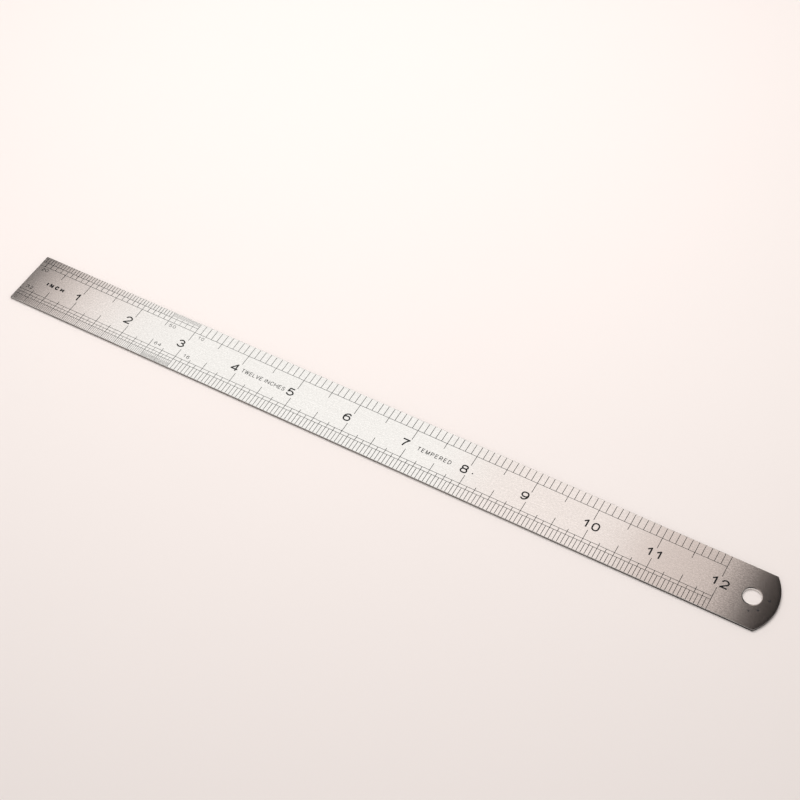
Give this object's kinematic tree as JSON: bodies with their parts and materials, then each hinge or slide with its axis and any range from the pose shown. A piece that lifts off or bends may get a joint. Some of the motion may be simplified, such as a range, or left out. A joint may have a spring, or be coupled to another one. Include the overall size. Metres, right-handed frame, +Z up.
{
  "type": "steel ruler",
  "caption": "Flat satin steel rule with a square zero end, a rounded end with a hanging hole, and etched, dark-filled inch and metric scales with numerals.",
  "frame": {"origin": "corner of the zero end on the sixteenths edge, at the underside", "axes": "+X along the rule from the zero end to the rounded end, +Y across it from the sixteenths edge to the tenths edge, +Z up out of the inch face"},
  "size_m": [0.3271, 0.0254, 0.001],
  "materials": {
    "satin_steel": "satin, finely brushed",
    "bold_enamel": "matte black fill",
    "fine_enamel": "matte dark grey fill"
  },
  "bodies": {
    "root": {"blade": "satin_steel", "graduations_20ths": "fine_enamel", "graduations_50ths": "fine_enamel", "graduations_10ths": "fine_enamel", "graduations_32nds": "fine_enamel", "graduations_64ths": "fine_enamel", "graduations_16ths": "fine_enamel", "inch_numerals": "bold_enamel", "inch_unit_word": "bold_enamel", "zone_labels": "fine_enamel", "small_words": "fine_enamel", "graduations_mm_upper": "fine_enamel", "graduations_half_mm": "fine_enamel", "graduations_mm_lower": "fine_enamel", "centimetre_numerals": "bold_enamel", "centimetre_unit_word": "bold_enamel"}
  },
  "joints": []
}
